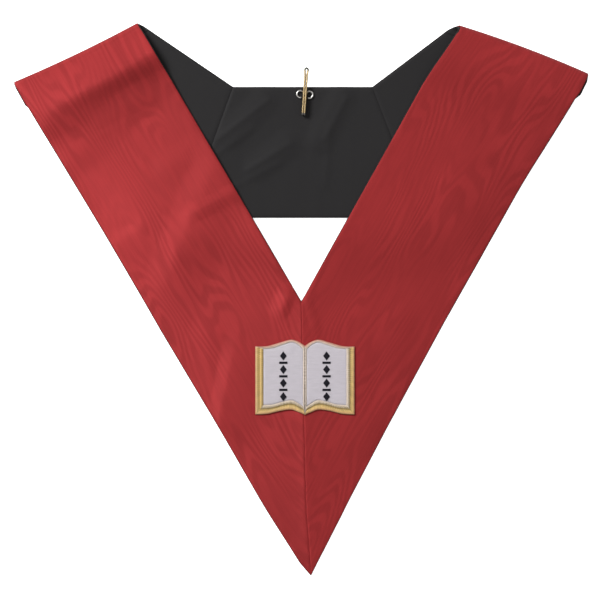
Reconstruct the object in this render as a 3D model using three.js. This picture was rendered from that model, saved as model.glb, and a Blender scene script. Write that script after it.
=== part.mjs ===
// Lodge collar of watered ribbon, laid down flat with both shoulders folded over.
//
// The collar is one closed loop of five lengths of four-inch ribbon, mitred together: two fronts that
// meet in a point, two shoulders and a neck band. A black lining backs each length. It lies as it is
// laid on a table: neck and shoulders underneath with the lining up, both fronts folded over on top
// with the ribbon up. An embroidered book spans the front seam, and a wire hook is sewn to the neck.
//
// Millimetres, +Z up. X runs across the collar, +Y runs from the point to the neck. The drawing starts
// at the notch where the two fronts meet; the finished collar is moved so that the middle of its
// underside is the origin.

import * as THREE from 'three';
import { mergeVertices } from 'three/addons/utils/BufferGeometryUtils.js';

// Cloth
const ribbonWidth = 101.6;
const ribbonThickness = 1.0;
const liningThickness = 1.0;
const liningRim = 0.6;
const touchGap = 0.3;

// Layout of the laid collar: lengths in millimetres, angles in degrees
const neckLength = 104.6;
const neckDepth = 98.6;
const neckShift = 1.0;
const openingHeight = 62.4;
const seamLean = 1.35;
const tipStretch = 1.8;
const tipSwing = 2.3;
const tipSwingReach = 62;
const drapeStart = 8;
const drapeReach = 40;
const mitreSetback = 10;
const cornerReach = 55;

// The two sides differ as they are laid. Edge flare is the widening of the ribbon at the fold, and flare
// reach the share of the front that it fades over. Fold bow is how far the fold swells out (or in, when
// negative), corner slip is how far the front slides out over the shoulder at the inner end of the fold,
// and corner tuck is how far the outer corner of the mitre is tucked in behind it.
const sides = {
  left: {
    name: 'left',
    mirror: -1,
    shoulderLength: 85.9,
    shoulderRise: 34.2,
    foldFall: 25.6,
    rollRadius: 3.3,
    foldLoft: 3.0,
    loftReach: 62,
    edgeFlare: 2.4,
    flareReach: 0.5,
    foldBow: -1.3,
    cornerSlip: 0.5,
    cornerTuck: 2.2,
  },
  right: {
    name: 'right',
    mirror: 1,
    shoulderLength: 78.1,
    shoulderRise: 37.0,
    foldFall: 20.5,
    rollRadius: 4.6,
    foldLoft: 1.6,
    loftReach: 74,
    edgeFlare: 4.4,
    flareReach: 0.25,
    foldBow: 1.6,
    cornerSlip: 4.0,
    cornerTuck: 2.8,
  },
};

// How far the outer edge of each front swells past a straight line, by the share of its length
const edgeSwells = [
  { along: 0.0, left: 0.0, right: 0.0 },
  { along: 0.15, left: 0.0, right: 0.5 },
  { along: 0.3, left: 0.5, right: -0.1 },
  { along: 0.5, left: 1.8, right: -1.3 },
  { along: 0.7, left: 1.3, right: -1.1 },
  { along: 0.88, left: 2.1, right: 0.2 },
  { along: 0.97, left: 2.2, right: -0.3 },
  { along: 1.0, left: 0.0, right: 0.0 },
];

// Soft ridges in the cloth. Along and across are shares of the length, from the fold or the left end of
// the neck on, and of the width, from the inner edge out. Reach and height are shares of the ribbon width.
const creases = {
  frontLeft: [
    { along: 0.18, across: 0.3, toAlong: 0.17, toAcross: 0.98, reach: 0.17, height: 0.022 },
    { along: 0.43, across: 0.02, toAlong: 0.345, toAcross: 0.34, reach: 0.14, height: 0.02 },
    { along: 0.62, across: 0.72, toAlong: 0.68, toAcross: 0.99, reach: 0.16, height: 0.016 },
  ],
  frontRight: [
    { along: 0.16, across: 0.05, toAlong: 0.24, toAcross: 0.6, reach: 0.17, height: 0.018 },
    { along: 0.33, across: 0.55, toAlong: 0.38, toAcross: 0.98, reach: 0.19, height: 0.018 },
    { along: 0.6, across: 0.7, toAlong: 0.68, toAcross: 0.98, reach: 0.16, height: 0.014 },
  ],
  neck: [
    { along: 0.24, across: 0.11, toAlong: 0.09, toAcross: 0.37, reach: 0.13, height: 0.02 },
    { along: 0.41, across: 0.44, toAlong: 0.27, toAcross: 0.62, reach: 0.13, height: 0.018 },
    { along: 0.76, across: 0.09, toAlong: 0.59, toAcross: 0.41, reach: 0.13, height: 0.02 },
  ],
};

// Fineness of the cloth solids: numbers of steps
const stepsAcross = 8;
const stepsInRoll = 8;
const stepsNearFold = 5;
const stepsDownFront = 16;
const stepsBehindFold = 2;
const stepsOnShoulder = 7;
const stepsOnNeck = 10;

// Embroidered book
const bookWidth = 74.6;
const bookHeight = 56.4;
const bookDrop = 57.3;
const bookShift = 2.7;
const giltThickness = 1.6;
const pageThickness = 1.2;
const foreEdgeWidth = 6.2;
const gutterWidth = 2.8;
const outlineSteps = 18;

// Half of the book from the spine out. Across is a share of half the width, or of a page's width; the
// heights are shares of half the book's height, above and below its middle.
const bookSections = [
  { across: 0.0, top: 0.835, foot: -1.0, pageTop: 0.74, pageFoot: -0.78 },
  { across: 0.12, top: 0.94, foot: -0.935, pageTop: 0.86, pageFoot: -0.69 },
  { across: 0.28, top: 1.0, foot: -0.865, pageTop: 0.93, pageFoot: -0.61 },
  { across: 0.5, top: 0.925, foot: -0.9, pageTop: 0.865, pageFoot: -0.645 },
  { across: 0.76, top: 0.83, foot: -0.98, pageTop: 0.775, pageFoot: -0.72 },
  { across: 1.0, top: 0.82, foot: -0.995, pageTop: 0.75, pageFoot: -0.735 },
];

// Plain stitched ornament down each page: lozenges with short bars between them
const lozengeCount = 4;
const lozengePitch = 10.2;
const lozengeWidth = 5.2;
const lozengeHeight = 6.8;
const barWidth = 6.2;
const barHeight = 1.7;
const markRise = 0.9;
const markThickness = 0.5;

// Wire hook sewn to the neck band
const wireDiameter = 1.5;
const wireSides = 6;
const wireSteps = 128;
const wireSpread = 0.35;
const hookLean = 4;
const hookShift = 2.6;
const loopDiameter = 4.9;
const loopDrop = 5.9;
const loopOpening = 75;
const shankLength = 20;
const tongueLength = 34.6;
const tongueRise = 3.6;
const arcSteps = 12;
const shankStops = [0.3, 0.6];
const tongueStops = [0.25, 0.5, 0.75];

// Points of a body closer than this are one point
const weldDistance = 1e-4;

const ribbonRed = new THREE.MeshStandardMaterial({ color: 0xa8323a, roughness: 0.5, metalness: 0 });
const liningBlack = new THREE.MeshStandardMaterial({ color: 0x2b2a2b, roughness: 0.7, metalness: 0 });
const giltThread = new THREE.MeshStandardMaterial({ color: 0xc79a4b, roughness: 0.45, metalness: 0.4 });
const pageThread = new THREE.MeshStandardMaterial({ color: 0xd2cddc, roughness: 0.7, metalness: 0 });
const markThread = new THREE.MeshStandardMaterial({ color: 0x1c1b20, roughness: 0.6, metalness: 0 });
const giltWire = new THREE.MeshStandardMaterial({ color: 0xd0a75f, roughness: 0.3, metalness: 1 });

// The cloth's mid surface runs in the gap between ribbon and lining. On the table it lies at floorLevel,
// and one layer of cloth on another lies a layerStep higher.
const floorLevel = ribbonThickness + touchGap / 2;
const layerStep = ribbonThickness + liningThickness + 2 * touchGap;
const ribbonLayer = { near: touchGap / 2, far: touchGap / 2 + ribbonThickness, rim: liningRim };
const liningLayer = { near: -touchGap / 2 - liningThickness, far: -touchGap / 2, rim: 0 };

const { degToRad, smoothstep, lerp, clamp } = THREE.MathUtils;
const point = (x, y) => new THREE.Vector2(x, y);
const between = (a, b, share) => a.clone().lerp(b, share);
const along = (start, heading, distance) => start.clone().addScaledVector(heading, distance);
const quarterTurn = (v) => point(-v.y, v.x);
const heading = (from, to) => to.clone().sub(from).normalize();

function crossing(startA, headingA, startB, headingB) {
  const apart = startB.clone().sub(startA);
  return along(startA, headingA, apart.cross(headingB) / headingA.cross(headingB));
}

function mirrored(v, line) {
  return line.clone().multiplyScalar(2 * v.dot(line)).sub(v);
}

// Plan of the laid collar
const notch = point(0, 0);
const neckTop = openingHeight + neckDepth;
const neckFoot = { start: point(0, openingHeight), heading: point(1, 0) };
const seamHeading = point(Math.sin(degToRad(seamLean)), -Math.cos(degToRad(seamLean)));

function layOutSide(side) {
  const outwards = (v) => quarterTurn(v).multiplyScalar(side.mirror);
  const rise = degToRad(side.shoulderRise);
  const fall = degToRad(side.foldFall);
  const neckCorner = point(neckShift + (side.mirror * neckLength) / 2, neckTop);
  const shoulder = point(-side.mirror * Math.cos(rise), -Math.sin(rise));
  const fold = point(side.mirror * Math.cos(fall), -Math.sin(fall));
  const foldInner = along(neckCorner, shoulder, -side.shoulderLength);
  const front = heading(foldInner, notch);
  const shoulderEdge = along(neckCorner, outwards(shoulder), ribbonWidth);
  const frontEdge = along(notch, outwards(front), ribbonWidth);
  const flaredEdge = along(frontEdge, outwards(front), side.edgeFlare);
  const foldEnd = crossing(foldInner, fold, flaredEdge, front);
  const backEdge = mirrored(front, fold).negate();
  const mitreInner = along(foldInner, shoulder, mitreSetback);
  const mitreOuter = crossing(foldEnd, backEdge, shoulderEdge, shoulder);
  return {
    ...side,
    shoulder,
    fold,
    shoulderEdge,
    shoulderOutwards: outwards(shoulder),
    foldInner,
    foldEnd,
    foldOuter: crossing(foldInner, fold, frontEdge, front),
    inward: outwards(fold).negate(),
    front,
    frontOutwards: outwards(front),
    backEdge,
    mitre: {
      inner: mitreInner,
      outer: along(mitreOuter, heading(mitreOuter, mitreInner), side.cornerTuck),
    },
    neckMitre: {
      inner: neckCorner,
      outer: crossing(shoulderEdge, shoulder, neckFoot.start, neckFoot.heading),
    },
  };
}

const left = layOutSide(sides.left);
const right = layOutSide(sides.right);
const pointAngle = Math.acos(left.front.dot(right.front));
const tip = along(notch, seamHeading, ribbonWidth / Math.sin(pointAngle / 2) + tipStretch);

// The two edges of a front, by the distance from the fold
const innerLength = (side) => side.foldInner.distanceTo(notch);
const outerLength = (side) => side.foldOuter.distanceTo(tip);

function innerEdge(side, distance) {
  const slip = side.cornerSlip * (1 - smoothstep(distance, 0, cornerReach));
  return along(along(side.foldInner, side.front, distance), side.fold, slip);
}

function edgeSwell(side, share) {
  const next = Math.max(edgeSwells.findIndex((stop) => stop.along >= share), 1);
  const start = edgeSwells[next - 1];
  const end = edgeSwells[next];
  return lerp(start[side.name], end[side.name], (share - start.along) / (end.along - start.along));
}

function outerEdge(side, distance) {
  const share = clamp(distance / outerLength(side), 0, 1);
  const flare = side.edgeFlare * (1 - smoothstep(share, 0, side.flareReach));
  const straight = along(side.foldOuter, heading(side.foldOuter, tip), distance);
  return along(straight, side.frontOutwards, flare + edgeSwell(side, share));
}

function frontPlan(side, share, across) {
  const inner = innerEdge(side, share * innerLength(side));
  const outer = outerEdge(side, share * outerLength(side));
  return between(inner, outer, across);
}

function stripPlan(from, to, share, across) {
  return between(between(from.inner, to.inner, share), between(from.outer, to.outer, share), across);
}

// Soft hill of height 1: away is a distance from its middle, as a share of its reach
const hill = (away) => Math.max(1 - away * away, 0) ** 2;

// Height that the ridges of one length of cloth add at a place on its plan
function creaseHeight(ridges, plan, place) {
  return ridges.reduce((height, ridge) => {
    const start = plan(ridge.along, ridge.across);
    const run = plan(ridge.toAlong, ridge.toAcross).sub(start);
    const share = clamp(place.clone().sub(start).dot(run) / run.lengthSq(), 0, 1);
    const away = place.distanceTo(along(start, run, share));
    return height + ridge.height * ribbonWidth * hill(away / (ridge.reach * ribbonWidth));
  }, 0);
}

const fromFold = (side, place) => place.clone().sub(side.foldInner).dot(side.inward);

// A front lies over the shoulder and neck, settles to them from the roll of the fold, and drapes down to
// the table beyond their edge
function frontHeight(side, ridges, place) {
  const beyondShoulder = place.clone().sub(side.shoulderEdge).dot(side.shoulderOutwards);
  const beyondNeck = neckFoot.start.y - place.y;
  const beyond = Math.max(beyondShoulder, beyondNeck) - drapeStart;
  const covering = 1 - smoothstep(beyond, 0, drapeReach);
  const distance = fromFold(side, place);
  const settling = 1 - smoothstep(distance, side.rollRadius, side.loftReach);
  const humpMiddle = side.loftReach / 3;
  const hump = hill(distance / humpMiddle - 1);
  const rollRise = (2 * side.rollRadius - layerStep) * settling;
  const lift = layerStep * covering + rollRise + side.foldLoft * hump;
  const plan = (share, across) => frontPlan(side, share, across);
  return floorLevel + lift + creaseHeight(ridges, plan, place);
}

// The fold bows out of its straight line, and the point swings a little aside
function bowed(side, place, across) {
  const fading = 1 - smoothstep(fromFold(side, place), 0, ribbonWidth / 2);
  return along(place, side.inward, -side.foldBow * 4 * across * (1 - across) * fading);
}

function swung(place) {
  const fading = 1 - smoothstep(place.y - tip.y, 0, tipSwingReach);
  return point(place.x + tipSwing * fading, place.y);
}

// A row of cloth runs from the inner edge of the ribbon to its outer edge. Settle turns a place on the
// plan, and its share across the ribbon, into a point of the mid surface.
const row = (inner, outer, settle) => ({ inner, outer, settle });
const raised = (place, height) => new THREE.Vector3(place.x, place.y, height);

function rowsBetween(from, to, steps, settle) {
  return Array.from({ length: steps + 1 }, (_, step) => {
    const share = step / steps;
    return row(between(from.inner, to.inner, share), between(from.outer, to.outer, share), settle);
  });
}

// Half a touch gap, square to a seam, on the side of the given place
function besideSeam(line, place) {
  const aside = quarterTurn(heading(line.inner, line.outer));
  const turned = place.clone().sub(line.inner).dot(aside) < 0 ? -1 : 1;
  aside.multiplyScalar((turned * touchGap) / 2);
  return row(line.inner.clone().add(aside), line.outer.clone().add(aside), line.settle);
}

// The fold is a half round roll: angle 0 at its foot on the table, half a turn at its crown
function rollRow(side, angle) {
  const turned = smoothstep(angle, 0, Math.PI);
  const distance = floorLevel + side.rollRadius * (1 - Math.sin(angle));
  const height = floorLevel + side.rollRadius * (1 - Math.cos(angle));
  const perStep = (v) => v.clone().divideScalar(v.dot(side.inward));
  const frontOuter = heading(side.foldOuter, tip);
  const innerRun = between(perStep(side.shoulder), perStep(side.front), turned);
  const outerRun = between(perStep(side.backEdge), perStep(frontOuter), turned);
  const inner = along(along(side.foldInner, side.fold, side.cornerSlip * turned), innerRun, distance);
  const outer = along(side.foldEnd, outerRun, distance);
  return row(inner, outer, (place, across) => raised(bowed(side, place, across), height));
}

// Rows of a front, from the point up to the fold, around it and back to the shoulder's mitre
function frontRows(side, ridges) {
  const onTop = (place, across) => {
    const moved = bowed(side, place, across);
    return raised(swung(moved), frontHeight(side, ridges, moved));
  };
  const behind = (place, across) => raised(bowed(side, place, across), floorLevel);
  const steepness = side.front.dot(side.inward);
  const rollEnd = (floorLevel + side.rollRadius) / steepness;
  const nearEnd = ribbonWidth / 2;
  const list = [];
  for (let step = stepsDownFront; step > 0; step -= 1) {
    const inner = innerEdge(side, lerp(nearEnd, innerLength(side), step / stepsDownFront));
    const outer = outerEdge(side, lerp(nearEnd, outerLength(side), step / stepsDownFront));
    list.push(row(inner, outer, onTop));
  }
  for (let step = stepsNearFold; step > 0; step -= 1) {
    const distance = lerp(rollEnd, nearEnd, step / stepsNearFold);
    list.push(row(innerEdge(side, distance), outerEdge(side, distance), onTop));
  }
  for (let step = stepsInRoll; step > 0; step -= 1) {
    list.push(rollRow(side, (Math.PI * step) / stepsInRoll));
  }
  list.push(...rowsBetween(rollRow(side, 0), side.mitre, stepsBehindFold, behind));
  list[0] = besideSeam(list[0], side.foldInner);
  list.push(besideSeam(list.pop(), side.foldEnd));
  return list;
}

function stripRows(from, to, steps, settle) {
  const list = rowsBetween(from, to, steps, settle);
  list[0] = besideSeam(list[0], to.inner);
  list.push(besideSeam(list.pop(), from.inner));
  return list;
}

function shoulderRows(side) {
  const settle = (place, across) => raised(bowed(side, place, across), floorLevel);
  return stripRows(side.mitre, side.neckMitre, stepsOnShoulder, settle);
}

function neckRows(ridges) {
  const plan = (share, across) => stripPlan(left.neckMitre, right.neckMitre, share, across);
  const settle = (place) => raised(place, floorLevel + creaseHeight(ridges, plan, place));
  return stripRows(left.neckMitre, right.neckMitre, stepsOnNeck, settle);
}

// Drops the attributes that keep an extrusion's faces apart, so that the body is one piece
function closed(geometry) {
  geometry.deleteAttribute('normal');
  geometry.deleteAttribute('uv');
  geometry.clearGroups();
  const merged = mergeVertices(geometry, weldDistance);
  merged.computeVertexNormals();
  return merged;
}

// A length of cloth is a slab: the same grid of points on its near and its far side, joined around the
// rim. The ribbon's face is on the side that a turn from the rows' travel to the way outwards points to,
// so the rows of the right half are taken the other way round.
function clothGeometry(rows, layer) {
  const last = rows.length - 1;
  const nudge = 0.5 / stepsAcross;
  const surface = (index, across) => {
    const line = rows[clamp(index, 0, last)];
    return line.settle(between(line.inner, line.outer, across), across);
  };
  const positions = [];
  rows.forEach((line, index) => {
    const rim = layer.rim / line.inner.distanceTo(line.outer);
    for (let column = 0; column <= stepsAcross; column += 1) {
      const across = clamp(column / stepsAcross, rim, 1 - rim);
      const travel = surface(index + 1, across).sub(surface(index - 1, across));
      const outwards = surface(index, across + nudge).sub(surface(index, across - nudge));
      const normal = travel.cross(outwards).normalize();
      const middle = surface(index, across);
      positions.push(...middle.clone().addScaledVector(normal, layer.near));
      positions.push(...middle.clone().addScaledVector(normal, layer.far));
    }
  });
  const geometry = new THREE.BufferGeometry();
  geometry.setAttribute('position', new THREE.Float32BufferAttribute(positions, 3));
  geometry.setIndex(slabFaces(last, stepsAcross));
  geometry.computeVertexNormals();
  return geometry;
}

function slabFaces(steps, columns) {
  const faces = [];
  const near = (index, column) => 2 * (index * (columns + 1) + column);
  const far = (index, column) => near(index, column) + 1;
  const quad = (a, b, c, d) => faces.push(a, b, c, a, c, d);
  for (let i = 0; i < steps; i += 1) {
    for (let j = 0; j < columns; j += 1) {
      quad(far(i, j), far(i + 1, j), far(i + 1, j + 1), far(i, j + 1));
      quad(near(i, j), near(i, j + 1), near(i + 1, j + 1), near(i + 1, j));
    }
    quad(far(i + 1, 0), far(i, 0), near(i, 0), near(i + 1, 0));
    quad(far(i, columns), far(i + 1, columns), near(i + 1, columns), near(i, columns));
  }
  for (let j = 0; j < columns; j += 1) {
    quad(far(0, j), far(0, j + 1), near(0, j + 1), near(0, j));
    quad(far(steps, j + 1), far(steps, j), near(steps, j), near(steps, j + 1));
  }
  return faces;
}

function part(name, geometry, material) {
  const mesh = new THREE.Mesh(geometry, material);
  mesh.name = name;
  return mesh;
}

function clothPair(name, rows) {
  return [
    part(`ribbon_${name}`, clothGeometry(rows, ribbonLayer), ribbonRed),
    part(`lining_${name}`, clothGeometry(rows, liningLayer), liningBlack),
  ];
}

// The embroidered book: a gilt frame with two windows, and a page in each
const ribbonTop = floorLevel + ribbonLayer.far;

// Smooth line through one column of the section table, from one share across to another
function bookLine(column, from, to, mirror) {
  const heights = bookSections.map((section) => point(section.across, section[column] * (bookHeight / 2)));
  const curve = new THREE.SplineCurve(heights);
  return curve.getPoints(outlineSteps).map((p) => point(mirror * lerp(from, to, p.x), p.y));
}

function pageOutline(mirror, inset) {
  const from = gutterWidth / 2 + inset;
  const to = bookWidth / 2 - foreEdgeWidth - inset;
  const top = bookLine('pageTop', from, to, mirror).map((p) => point(p.x, p.y - inset));
  const foot = bookLine('pageFoot', from, to, mirror).map((p) => point(p.x, p.y + inset));
  const outline = [...top, ...foot.reverse()];
  return mirror > 0 ? outline.reverse() : outline;
}

function giltFrame() {
  const rightTop = bookLine('top', 0, bookWidth / 2, 1);
  const rightFoot = bookLine('foot', 0, bookWidth / 2, 1).reverse();
  const leftFoot = bookLine('foot', 0, bookWidth / 2, -1).slice(1);
  const leftTop = bookLine('top', 0, bookWidth / 2, -1).reverse().slice(0, -1);
  const shape = new THREE.Shape([...rightTop, ...rightFoot, ...leftFoot, ...leftTop]);
  shape.holes = [-1, 1].map((mirror) => new THREE.Path(pageOutline(mirror, 0)));
  return shape;
}

function plate(shape, thickness) {
  return closed(new THREE.ExtrudeGeometry(shape, { depth: thickness, bevelEnabled: false }));
}

function lozengeShape() {
  const half = point(lozengeWidth / 2, lozengeHeight / 2);
  return new THREE.Shape([point(half.x, 0), point(0, half.y), point(-half.x, 0), point(0, -half.y)]);
}

function barShape() {
  const half = point(barWidth / 2, barHeight / 2);
  const top = [point(half.x, half.y), point(-half.x, half.y)];
  return new THREE.Shape([...top, ...top.map((p) => point(-p.x, -p.y))]);
}

function stitchedMarks(pageName, mirror) {
  const pageMiddle = (mirror * (gutterWidth / 2 + bookWidth / 2 - foreEdgeWidth)) / 2;
  const marks = [];
  const addMark = (name, shape, height) => {
    const mark = part(name, plate(shape, markThickness), markThread);
    mark.position.set(pageMiddle, height, pageThickness + touchGap);
    marks.push(mark);
  };
  const topMark = markRise + ((lozengeCount - 1) * lozengePitch) / 2;
  for (let i = 0; i < lozengeCount; i += 1) {
    addMark(`${pageName}_lozenge_${i + 1}`, lozengeShape(), topMark - i * lozengePitch);
    if (i < lozengeCount - 1) {
      addMark(`${pageName}_bar_${i + 1}`, barShape(), topMark - (i + 0.5) * lozengePitch);
    }
  }
  return marks;
}

function embroideredBook() {
  const book = new THREE.Group();
  book.add(part('book_gilt_frame', plate(giltFrame(), giltThickness), giltThread));
  for (const [name, mirror] of [['book_page_left', -1], ['book_page_right', 1]]) {
    const page = new THREE.Shape(pageOutline(mirror, touchGap));
    book.add(part(name, plate(page, pageThickness), pageThread));
    book.add(...stitchedMarks(name, mirror));
  }
  book.position.set(bookShift, -bookDrop, ribbonTop + touchGap);
  return book;
}

// The hook is one wire: a sewing loop, up the shank, over the bend and down the tongue, and back by the
// same way on the other side. Its own drawing starts between the loops, on the lining.
function hookWirePoints() {
  const wireRadius = wireDiameter / 2;
  const loopRadius = loopDiameter / 2;
  const shankAside = wireRadius + wireSpread / 2;
  const bendRadius = tongueRise / 2;
  const bendMiddle = shankLength - bendRadius;
  const tongueFoot = shankLength - tongueLength + shankAside;
  const arc = (from, to, place) =>
    Array.from({ length: arcSteps + 1 }, (_, i) => place(degToRad(lerp(from, to, i / arcSteps))));
  const loop = arc(loopOpening, 360, (angle) => new THREE.Vector3(
    -shankAside - loopRadius + loopRadius * Math.cos(angle), loopRadius * Math.sin(angle), 0,
  ));
  const bend = arc(0, 180, (angle) => new THREE.Vector3(
    -shankAside, bendMiddle + bendRadius * Math.sin(angle), bendRadius * (1 - Math.cos(angle)),
  ));
  const tongueEnd = arc(180, 270, (angle) => new THREE.Vector3(
    shankAside * Math.cos(angle), tongueFoot + shankAside * Math.sin(angle), tongueRise,
  ));
  const shank = shankStops.map((share) => new THREE.Vector3(-shankAside, share * bendMiddle, 0));
  const tongue = tongueStops.map((share) =>
    new THREE.Vector3(-shankAside, lerp(bendMiddle, tongueFoot, share), tongueRise));
  const leftHalf = [...loop, ...shank, ...bend, ...tongue, ...tongueEnd];
  const rightHalf = leftHalf.slice(0, -1).reverse().map((p) => new THREE.Vector3(-p.x, p.y, p.z));
  return [...leftHalf, ...rightHalf];
}

function coatHook() {
  const path = new THREE.CatmullRomCurve3(hookWirePoints(), false, 'centripetal');
  const round = new THREE.EllipseCurve(0, 0, wireDiameter / 2, wireDiameter / 2);
  const section = new THREE.Shape(round.getPoints(wireSides).slice(0, wireSides));
  const sweep = { steps: wireSteps, extrudePath: path, bevelEnabled: false };
  const wire = new THREE.ExtrudeGeometry(section, sweep);
  const hook = part('coat_hook', closed(wire), giltWire);
  hook.rotation.z = -degToRad(hookLean);
  const liningTop = floorLevel - liningLayer.near;
  hook.position.set(hookShift, neckTop - loopDrop, liningTop + touchGap + wireDiameter / 2);
  return hook;
}

const collar = new THREE.Group();
collar.add(...clothPair('front_left', frontRows(left, creases.frontLeft)));
collar.add(...clothPair('shoulder_left', shoulderRows(left)));
collar.add(...clothPair('neck', neckRows(creases.neck)));
collar.add(...clothPair('shoulder_right', shoulderRows(right).reverse()));
collar.add(...clothPair('front_right', frontRows(right, creases.frontRight).reverse()));
collar.add(embroideredBook(), coatHook());

// The middle of the underside is the origin
const extent = new THREE.Box3().setFromObject(collar);
const middle = extent.getCenter(new THREE.Vector3());
collar.position.set(-middle.x, -middle.y, -extent.min.z);

export default collar;
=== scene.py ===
"""Lodge collar of watered ribbon, laid flat: its cloth, embroidered book and hook, and the stage.

The cloth repeats the layout of the part's source. Each length of ribbon is a grid whose rows run
from the inner edge of the ribbon to its outer edge, and whose columns run along the ribbon.
"""

import math
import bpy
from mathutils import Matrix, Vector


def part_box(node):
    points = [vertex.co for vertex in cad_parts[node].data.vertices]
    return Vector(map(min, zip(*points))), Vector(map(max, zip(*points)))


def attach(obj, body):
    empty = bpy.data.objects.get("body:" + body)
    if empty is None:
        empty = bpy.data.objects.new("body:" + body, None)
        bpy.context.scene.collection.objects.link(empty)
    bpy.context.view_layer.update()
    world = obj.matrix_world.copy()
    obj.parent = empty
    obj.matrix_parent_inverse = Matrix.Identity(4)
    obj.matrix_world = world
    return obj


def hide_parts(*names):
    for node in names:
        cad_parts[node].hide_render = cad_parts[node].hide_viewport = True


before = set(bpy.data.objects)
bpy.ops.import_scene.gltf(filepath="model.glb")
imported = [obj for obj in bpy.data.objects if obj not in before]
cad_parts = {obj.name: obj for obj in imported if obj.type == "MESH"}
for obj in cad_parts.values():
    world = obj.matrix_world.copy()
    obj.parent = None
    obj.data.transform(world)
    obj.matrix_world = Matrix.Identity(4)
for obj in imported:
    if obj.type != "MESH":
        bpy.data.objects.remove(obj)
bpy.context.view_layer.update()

from types import SimpleNamespace

import bmesh
import bpy
import numpy as np
from bpy.props import FloatProperty, FloatVectorProperty, PointerProperty
from bpy.types import Operator, Panel, PropertyGroup
from mathutils import Matrix

bl_info = {
    "name": "Lodge Collar",
    "version": (1, 0, 0),
    "blender": (4, 5, 0),
    "location": "View3D > Sidebar > Collar",
    "description": "Builds a laid lodge collar of watered ribbon with an embroidered book",
    "category": "Add Mesh",
}

MM = 0.001
BODY = "root"

# Layout of the laid collar, as in the part's source
NECK_LENGTH = 104.6 * MM
NECK_DEPTH = 98.6 * MM
NECK_SHIFT = 1.0 * MM
OPENING_HEIGHT = 62.4 * MM
SEAM_LEAN = math.radians(1.35)
TIP_STRETCH = 1.8 * MM
TIP_SWING = 2.3 * MM
TIP_SWING_REACH = 62 * MM
DRAPE_START = 8 * MM
DRAPE_REACH = 40 * MM
MITRE_SETBACK = 10 * MM
CORNER_REACH = 55 * MM

# The two sides differ as they are laid: lengths in millimetres, angles in degrees
SIDES = {
    "left": {
        "mirror": -1, "shoulder_length": 85.9, "shoulder_rise": 34.2, "fold_fall": 25.6,
        "roll_radius": 3.3, "edge_flare": 2.4, "flare_reach": 0.5, "fold_bow": -1.3,
        "corner_slip": 0.5, "corner_tuck": 2.2,
    },
    "right": {
        "mirror": 1, "shoulder_length": 78.1, "shoulder_rise": 37.0, "fold_fall": 20.5,
        "roll_radius": 4.6, "edge_flare": 4.4, "flare_reach": 0.25, "fold_bow": 1.6,
        "corner_slip": 4.0, "corner_tuck": 2.8,
    },
}
ANGLES = ("shoulder_rise", "fold_fall")
SHARES = ("mirror", "flare_reach")

# How far the outer edge of each front swells past a straight line, by the share of its length
EDGE_SWELLS = {
    "along": (0.0, 0.15, 0.3, 0.5, 0.7, 0.88, 0.97, 1.0),
    "left": (0.0, 0.0, 0.5, 1.8, 1.3, 2.1, 2.2, 0.0),
    "right": (0.0, 0.5, -0.1, -1.3, -1.1, 0.2, -0.3, 0.0),
}

# Soft ridges: shares along and across at the start and the end, then reach and height as shares of
# the ribbon's width
CREASES = {
    "front_left": (
        (0.18, 0.3, 0.17, 0.98, 0.17, 0.022),
        (0.43, 0.02, 0.345, 0.34, 0.14, 0.02),
        (0.62, 0.72, 0.68, 0.99, 0.16, 0.016),
    ),
    "front_right": (
        (0.16, 0.05, 0.24, 0.6, 0.17, 0.018),
        (0.33, 0.55, 0.38, 0.98, 0.19, 0.018),
        (0.6, 0.7, 0.68, 0.98, 0.16, 0.014),
    ),
    "neck": (
        (0.24, 0.11, 0.09, 0.37, 0.13, 0.02),
        (0.41, 0.44, 0.27, 0.62, 0.13, 0.018),
        (0.76, 0.09, 0.59, 0.41, 0.13, 0.02),
    ),
}

# How much of those ridges shows
RELIEF = {"front_left": 0.25, "front_right": 0.6, "neck": 0.4}

# How far from an edge or a seam the cloth starts to turn down, and how far its ends lap in a seam
EDGE_REACH = 1.5 * MM
SEAM_LAP = 0.3 * MM

# Softer relief of the fronts than the solids hold: a crest along a line, as shares along and
# across, how far it rises before the crest and falls after it, and its height, in millimetres
DRAPES = {
    "left": (
        (0.47, 0.36, 0.6, 0.0, 6.0, 11.0, 0.9),
        (0.33, 1.0, 0.37, 0.75, 9.0, 24.0, 0.5),
        (0.48, 0.75, 0.49, 0.0, 20.0, 34.0, 1.5),
        (0.7, 1.0, 0.71, 0.65, 12.0, 36.0, 1.4),
        (0.925, 0.055, 0.885, 0.172, 11.0, 7.0, 1.2),
    ),
    "right": (
        (0.925, 0.19, 0.963, 0.047, 6.0, 4.0, 0.8),
        (0.45, 0.2, 0.5, 0.6, 10.0, 26.0, 0.4),
    ),
}
# The shares of a crest's line over which it rises at its start and dies away at its end
DRAPE_ENDS = (-0.35, 0.1), (0.9, 1.35)
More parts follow.
